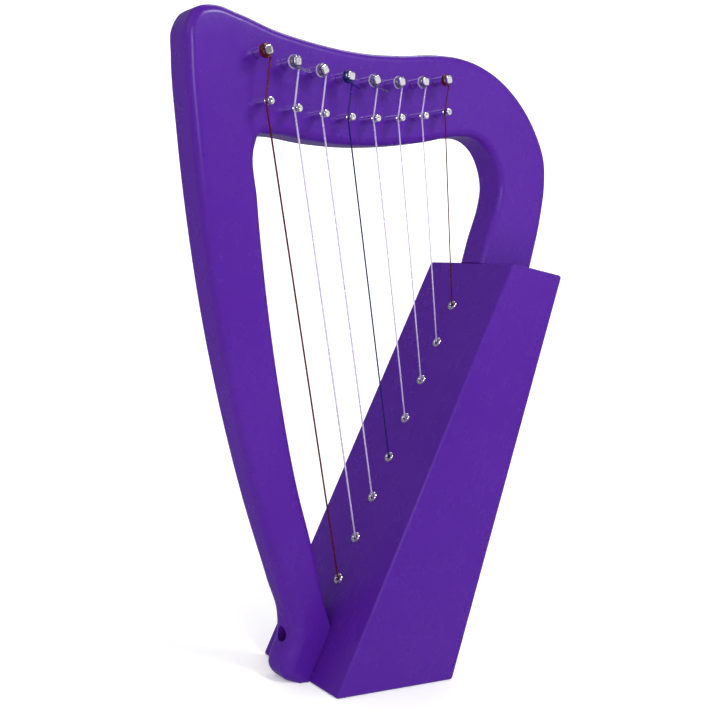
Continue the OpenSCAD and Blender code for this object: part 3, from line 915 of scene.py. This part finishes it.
def tuning_pin(number, place):
    """One pin: rings of the squared rod from its buried end to its eased tip."""
    shank = np.array([-PIN_IN, -PIN_IN + BURIED_EASE, -8 * MM, 0, 4 * MM, 8.4 * MM])
    head = np.linspace(PIN_OUT - SQUARE_L - RUN_OUT, PIN_OUT - TIP_EASE, 8)
    ease = np.radians(np.linspace(0, 90, 6))[1:]
    tip = PIN_OUT - TIP_EASE + TIP_EASE * np.sin(ease)
    heights = np.concatenate([shank, head, tip, [PIN_OUT, PIN_OUT]])
    inset = np.zeros(len(heights))
    inset[0] = BURIED_EASE
    inset[len(shank) + len(head):-2] = TIP_EASE * (1 - np.cos(ease))
    inset[-2] = TIP_RING_IN
    angle = np.linspace(0, 2 * np.pi, PIN_SIDES, endpoint=False)
    radius = pin_radius(angle[None, :], heights[:, None]) - inset[:, None]
    radius[-1] = 0
    around = angle + np.radians(PIN_TURNS[number])
    points = np.stack([
        place[0] + radius * np.cos(around),
        np.broadcast_to((-HALF_T - heights)[:, None], radius.shape),
        place[2] + radius * np.sin(around),
    ], axis=-1)
    body = f"pin_{number + 1}"
    piece = make_piece(f"pin_steel_{number + 1}", points, ring_faces((1, *points.shape[:2])), body)
    piece.data.materials.append(nickel)
    piece.data.set_sharp_from_angle(angle=np.radians(PIN_SHARP))
    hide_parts(f"tuning_pin_{number + 1}")
    return piece


pins = [tuning_pin(i, pin_points[i]) for i in range(STRINGS)]
count(pins[0])

# %% [markdown]
# ## Strings
# A string is one length of nylon. It is wound on its tuning pin, leaves the right of the
# pin, bends round the left of its bridge pin, and runs to its eyelet, where it turns in
# and is stopped by a knot. Both straight stretches are tangents to circles, so their
# directions come from the distance between centres and the two radii.

# %% Route of a string
RUB = 0.05 * MM
DIP = 0.4 * MM
TURN_GAP = 1.05
COIL_SPAN = 376
COIL_STEP = 8
KNOT_R = 1.9 * MM
RIB_T = 4 * MM
KNOT_GAP = 0.1 * MM
KNOT_DEPTH = BOARD_T + RIB_T + KNOT_GAP + KNOT_R
ELBOW = 0.7 * MM
STRING_Y = -HALF_T - STRING_H
string_radii = (1.0 - 0.04 * np.arange(STRINGS)) * MM / 2


def spun(v, degrees):
    """A flat vector turned through an angle."""
    a = np.radians(degrees)
    return np.array([v[0] * np.cos(a) - v[1] * np.sin(a), v[0] * np.sin(a) + v[1] * np.cos(a)])


def angle_of(v):
    """A flat vector's angle in degrees."""
    return np.degrees(np.arctan2(v[1], v[0]))


def round_pin(centre, radius, degrees):
    """Points round an upright circle in the plane of the strings."""
    a = np.radians(degrees)
    x = centre[0] + radius * np.cos(a)
    z = centre[1] + radius * np.sin(a)
    return np.stack([x, np.full(a.shape, STRING_Y), z], axis=1)


def string_route(i):
    """Points along a string, from the turns on its pin to its knot."""
    r = string_radii[i]
    pitch = 2 * r * TURN_GAP
    wound = PIN_R + r
    bent = GROOVE_R + r + RUB
    pin = pin_points[i][[0, 2]]
    bridge = bridge_flat[i]
    mouth = eyelet_flat[i] + BOARD_OUT * DIP
    down = bridge - pin
    first = spun(unit(down), -np.degrees(np.arcsin((wound + bent) / np.linalg.norm(down))))
    run = mouth - bridge
    second = spun(unit(run), np.degrees(np.arcsin(bent / np.linalg.norm(run))))
    turns = np.arange(COIL_SPAN, -1.0, -COIL_STEP)
    coil = round_pin(pin, wound, angle_of(spun(first, 90)) + turns)
    coil[:, 1] += pitch * turns / 360
    start = angle_of(spun(first, -90))
    sweep = (angle_of(spun(second, -90)) - start + 180) % 360 - 180
    bend = round_pin(bridge, bent, start + sweep * np.linspace(0, 1, 9))
    straight = bend[-1] + (upright(mouth) - bend[-1]) * np.linspace(0, 1, 24)[1:-1, None]
    turn_in = np.linspace(0, 1, 7)[:, None]
    before = upright(mouth) + unit(bend[-1] - upright(mouth)) * ELBOW
    after = upright(mouth) - upright(BOARD_OUT) * ELBOW
    elbow = before * (1 - turn_in) ** 2 + 2 * upright(mouth) * turn_in * (1 - turn_in) + after * turn_in**2
    end = upright(eyelet_flat[i] - BOARD_OUT * KNOT_DEPTH)
    return np.concatenate([coil, bend, straight, elbow, end[None]])


def tube(path, radius, sides):
    """A round tube: at each point a ring square to the mean of the two stretches there."""
    way = unit(np.diff(path, axis=0))
    mean = unit(np.vstack([way[:1], way[:-1] + way[1:], way[-1:]]))
    aside = unit(np.cross(mean, [0, 1, 0]))
    other = np.cross(mean, aside)
    angle = np.linspace(0, 2 * np.pi, sides, endpoint=False)[None, :, None]
    return path[:, None] + radius * (np.cos(angle) * aside[:, None] + np.sin(angle) * other[:, None])


lengths = [np.linalg.norm(np.diff(string_route(i), axis=0), axis=1).sum() for i in range(STRINGS)]
print("strings in mm, with their coils:", [round(length * 1000, 1) for length in lengths])

# %% Eight strings
STRING_SIDES = 20
for i in range(STRINGS):
    rings = tube(string_route(i), string_radii[i], STRING_SIDES)
    line = make_piece(f"nylon_string_{i + 1}", rings, ring_faces((1, *rings.shape[:2])))
    line.data.materials.append(STRING_NYLONS[i])
    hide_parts(f"string_{i + 1}")
count(line)

# %% [markdown]
# ## Windings
# The turn nearest the tip moves with the pin. It is a closed ring, so it looks the same at
# any turn of the pin. The cut end hugs the pin a little way and then sticks out, with the
# slight curl that nylon keeps. Three ends lie in front and the others hide behind.

# %% Windings and cut ends
TAIL_ANGLES = [70, 0, 85, -14, -7, 75, 90, 80]
TAIL_LENGTHS = [2.5, 9.7, 2.5, 8.2, 9.5, 2.5, 2.5, 2.5]
TAIL_TURNS = [2, -2, 2, -2, -2, 2, 2, 2]
RIDING_TURN = -1
RING_STEPS = 64
TAIL_LEAD = 40
TAIL_CURL = 0.06


def winding(i):
    """One ring and a tail. The tail follows the pin a little way, then leaves it squarely."""
    r = string_radii[i]
    pitch = 2 * r * TURN_GAP
    pin = pin_points[i][[0, 2]]
    path = round_pin(pin, PIN_R + r, np.linspace(0, 360, RING_STEPS, endpoint=False))
    path[:, 1] += pitch * RIDING_TURN
    out = unit((path - [pin[0], 0, pin[1]]) * [1, 0, 1])
    a = np.linspace(0, 2 * np.pi, STRING_SIDES, endpoint=False)[None, :, None]
    ring = path[:, None] + r * (np.cos(a) * out[:, None] + np.sin(a) * np.array([0, 1, 0]))
    faces = grid_faces(RING_STEPS + 1, STRING_SIDES)
    first = RING_STEPS * STRING_SIDES
    faces = np.where(faces >= first, faces - first, faces).tolist()
    lead = np.linspace(-TAIL_LEAD, 0, 10)
    curl = round_pin(pin, PIN_R + r + RUB, TAIL_ANGLES[i] - 90 + lead)
    curl[:, 1] += pitch * TAIL_TURNS[i]
    along = np.linspace(0, 1, 12)[1:, None]
    a = np.radians(TAIL_ANGLES[i])
    out_way = np.array([np.cos(a), 0, np.sin(a)])
    up_way = np.array([-np.sin(a), 0, np.cos(a)])
    tail_l = TAIL_LENGTHS[i] * MM
    tail = curl[-1] + out_way * tail_l * along + up_way * tail_l * TAIL_CURL * along**2
    rings = tube(np.concatenate([curl, tail]), r, STRING_SIDES)
    points = np.concatenate([ring.reshape(-1, 3), rings.reshape(-1, 3)])
    faces += [[v + first for v in face] for face in ring_faces((1, *rings.shape[:2]))]
    piece = make_piece(f"nylon_winding_{i + 1}", points, faces, f"pin_{i + 1}")
    # clear strings' coils take the darker copy of the clear nylon: painted shade
    wound = STRING_NYLONS[i] if STRING_NYLONS[i] is not nylon_clear else nylon_wound
    piece.data.materials.append(wound)
    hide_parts(f"string_winding_{i + 1}")
    return piece


windings = [winding(i) for i in range(STRINGS)]
count(windings[0])

# %% [markdown]
# Inside the box each string ends in a knot that is pulled up under the rib. A knot drawn
# tight is close to a trefoil: a closed path with three lobes, each of which passes over
# one neighbour and under the other.

# %% Knots
KNOT_SIDES = 12
KNOT_CORD_R = 0.5 * MM
KNOT_LOBE = KNOT_R - 0.55 * MM
KNOT_LIFT = 0.55


def knot_path(centre, way, size):
    """A knot drawn tight: a three-lobed loop that passes over and under itself."""
    t = np.linspace(0, 2 * np.pi, 97)[:-1]
    x = (np.sin(t) + 2 * np.sin(2 * t)) / 3 * size
    y = (np.cos(t) - 2 * np.cos(2 * t)) / 3 * size
    z = -np.sin(3 * t) * size * KNOT_LIFT
    aside = np.array([0.0, 1.0, 0.0])
    other = np.cross(way, aside)
    return centre + x[:, None] * aside + y[:, None] * other + z[:, None] * way


def looped_tube(path, radius, sides):
    """A closed tube: rings square to the path, which ends where it starts."""
    way = unit(np.roll(path, -1, axis=0) - np.roll(path, 1, axis=0))
    middle = path.mean(axis=0)
    out = unit(path - middle)
    aside = unit(out - way * np.sum(out * way, axis=1, keepdims=True))
    other = np.cross(way, aside)
    angle = np.linspace(0, 2 * np.pi, sides, endpoint=False)[None, :, None]
    return path[:, None] + radius * (np.cos(angle) * aside[:, None] + np.sin(angle) * other[:, None])


board_in = -upright(BOARD_OUT)
knot_points, knot_faces = [], []
for i in range(STRINGS):
    centre = eyelet_points[i] + board_in * KNOT_DEPTH
    rings = looped_tube(knot_path(centre, board_in, KNOT_LOBE), KNOT_CORD_R, KNOT_SIDES)
    first = i * rings.shape[0] * KNOT_SIDES
    looped = grid_faces(len(rings) + 1, KNOT_SIDES, first)
    end = first + len(rings) * KNOT_SIDES
    looped = np.where(looped >= end, looped - len(rings) * KNOT_SIDES, looped)
    knot_points.append(rings.reshape(-1, 3))
    knot_faces += looped.tolist()
knots = make_piece("nylon_knots", np.concatenate(knot_points), knot_faces)
knots.data.materials.append(nylon_clear)
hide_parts("string_knots")
count(knots)

# %% [markdown]
# ## Floor and light
# The harp stands on white paper that runs out flat, then curves up all round into a wall,
# so there is no edge behind the harp from any side. It is a curve of radius against height
# turned about the upright axis, like a bowl. Mirrors don't see the paper, which would lay
# a pale veil over the paint where it is seen at a slant.
#
# Five soft panels light it. The main one hangs in front, high up, and gives the pins their
# short shadows. A weak card on the right shows in the tips of the pins. A wide warm panel
# on the left lifts the outside of the pillar, and a small one near the camera draws a line
# of light down the rounded edges. The last one fills the bowl behind the harp.

# %% Floor and light
BOWL_START = 0.5
BOWL_R = 1.6
BOWL_TOP = 3.0
BOWL_SIDES = 96
PAPER_GLOW = 0.22


def paper_bowl():
    """Paper turned about the upright axis: flat, then a quarter circle, then a wall. The
    radius is start + r cos a and the height r + r sin a, for a from -90 to 0 degrees."""
    a = np.radians(np.linspace(-90, 0, 33))
    out = np.concatenate([[BOWL_START * 0.5], BOWL_START + BOWL_R * np.cos(a), [BOWL_START + BOWL_R]])
    up = np.concatenate([[0], BOWL_R + BOWL_R * np.sin(a), [BOWL_TOP]])
    turn_a = np.linspace(0, 2 * np.pi, BOWL_SIDES, endpoint=False)
    around = np.stack([np.cos(turn_a), np.sin(turn_a), np.zeros(BOWL_SIDES)], axis=1)
    points = out[:, None, None] * around
    points[..., 2] += up[:, None]
    return points, grid_faces(len(out), BOWL_SIDES).tolist() + [list(range(BOWL_SIDES))]


floor = make_piece("paper_bowl", *paper_bowl(), body=None)
material, tree, shader, place = new_material("white_paper")
fibres = noise(tree, place, 3.0, detail=2.0)
tone = blend(tree, fibres, (0.93, 0.93, 0.93), (0.915, 0.915, 0.92))
tree.links.new(tone, shader.inputs["Base Color"])
tree.links.new(tone, shader.inputs["Emission Color"])
shader.inputs["Emission Strength"].default_value = PAPER_GLOW
shader.inputs["Roughness"].default_value = 0.9
shader.inputs["Specular IOR Level"].default_value = 0.1
floor.data.materials.append(material)
floor.visible_glossy = False


def panel_light(name, place, aim, size, power, colour=(1, 1, 1)):
    """A square soft light that faces a point."""
    data = bpy.data.lights.new(name, "AREA")
    data.shape = "SQUARE"
    data.size = size
    data.energy = power
    data.color = colour
    light = bpy.data.objects.new(name, data)
    bpy.context.scene.collection.objects.link(light)
    light.rotation_euler = (Vector(place) - Vector(aim)).to_track_quat("Z", "Y").to_euler()
    light.location = place
    return light


MIDDLE = (0.0, 0.0, 0.2)
panel_light("main_panel", (0.14, -0.6, 0.8), (-0.04, 0.0, 0.22), 0.2, 3.5)
panel_light("right_card", (0.85, -1.05, 0.62), MIDDLE, 0.5, 0.45)
panel_light("left_panel", (-1.15, -0.2, 0.8), MIDDLE, 0.8, 1.5, (1.0, 0.85, 0.62))
panel_light("near_panel", (-0.62, -0.95, 0.42), MIDDLE, 0.3, 2.4)
panel_light("bowl_panel", (0.7, 0.848, 2.1), (1.465, 1.773, 0.5), 0.9, 17)
print("lights:", sorted(light.name for light in bpy.data.lights))

world = bpy.data.worlds.new("surround")
world.use_nodes = True
bpy.context.scene.world = world
room = world.node_tree.nodes["Background"]
room.inputs["Color"].default_value = (1.0, 1.0, 1.0, 1.0)
room.inputs["Strength"].default_value = 0.22
bpy.context.scene.view_settings.view_transform = "Standard"
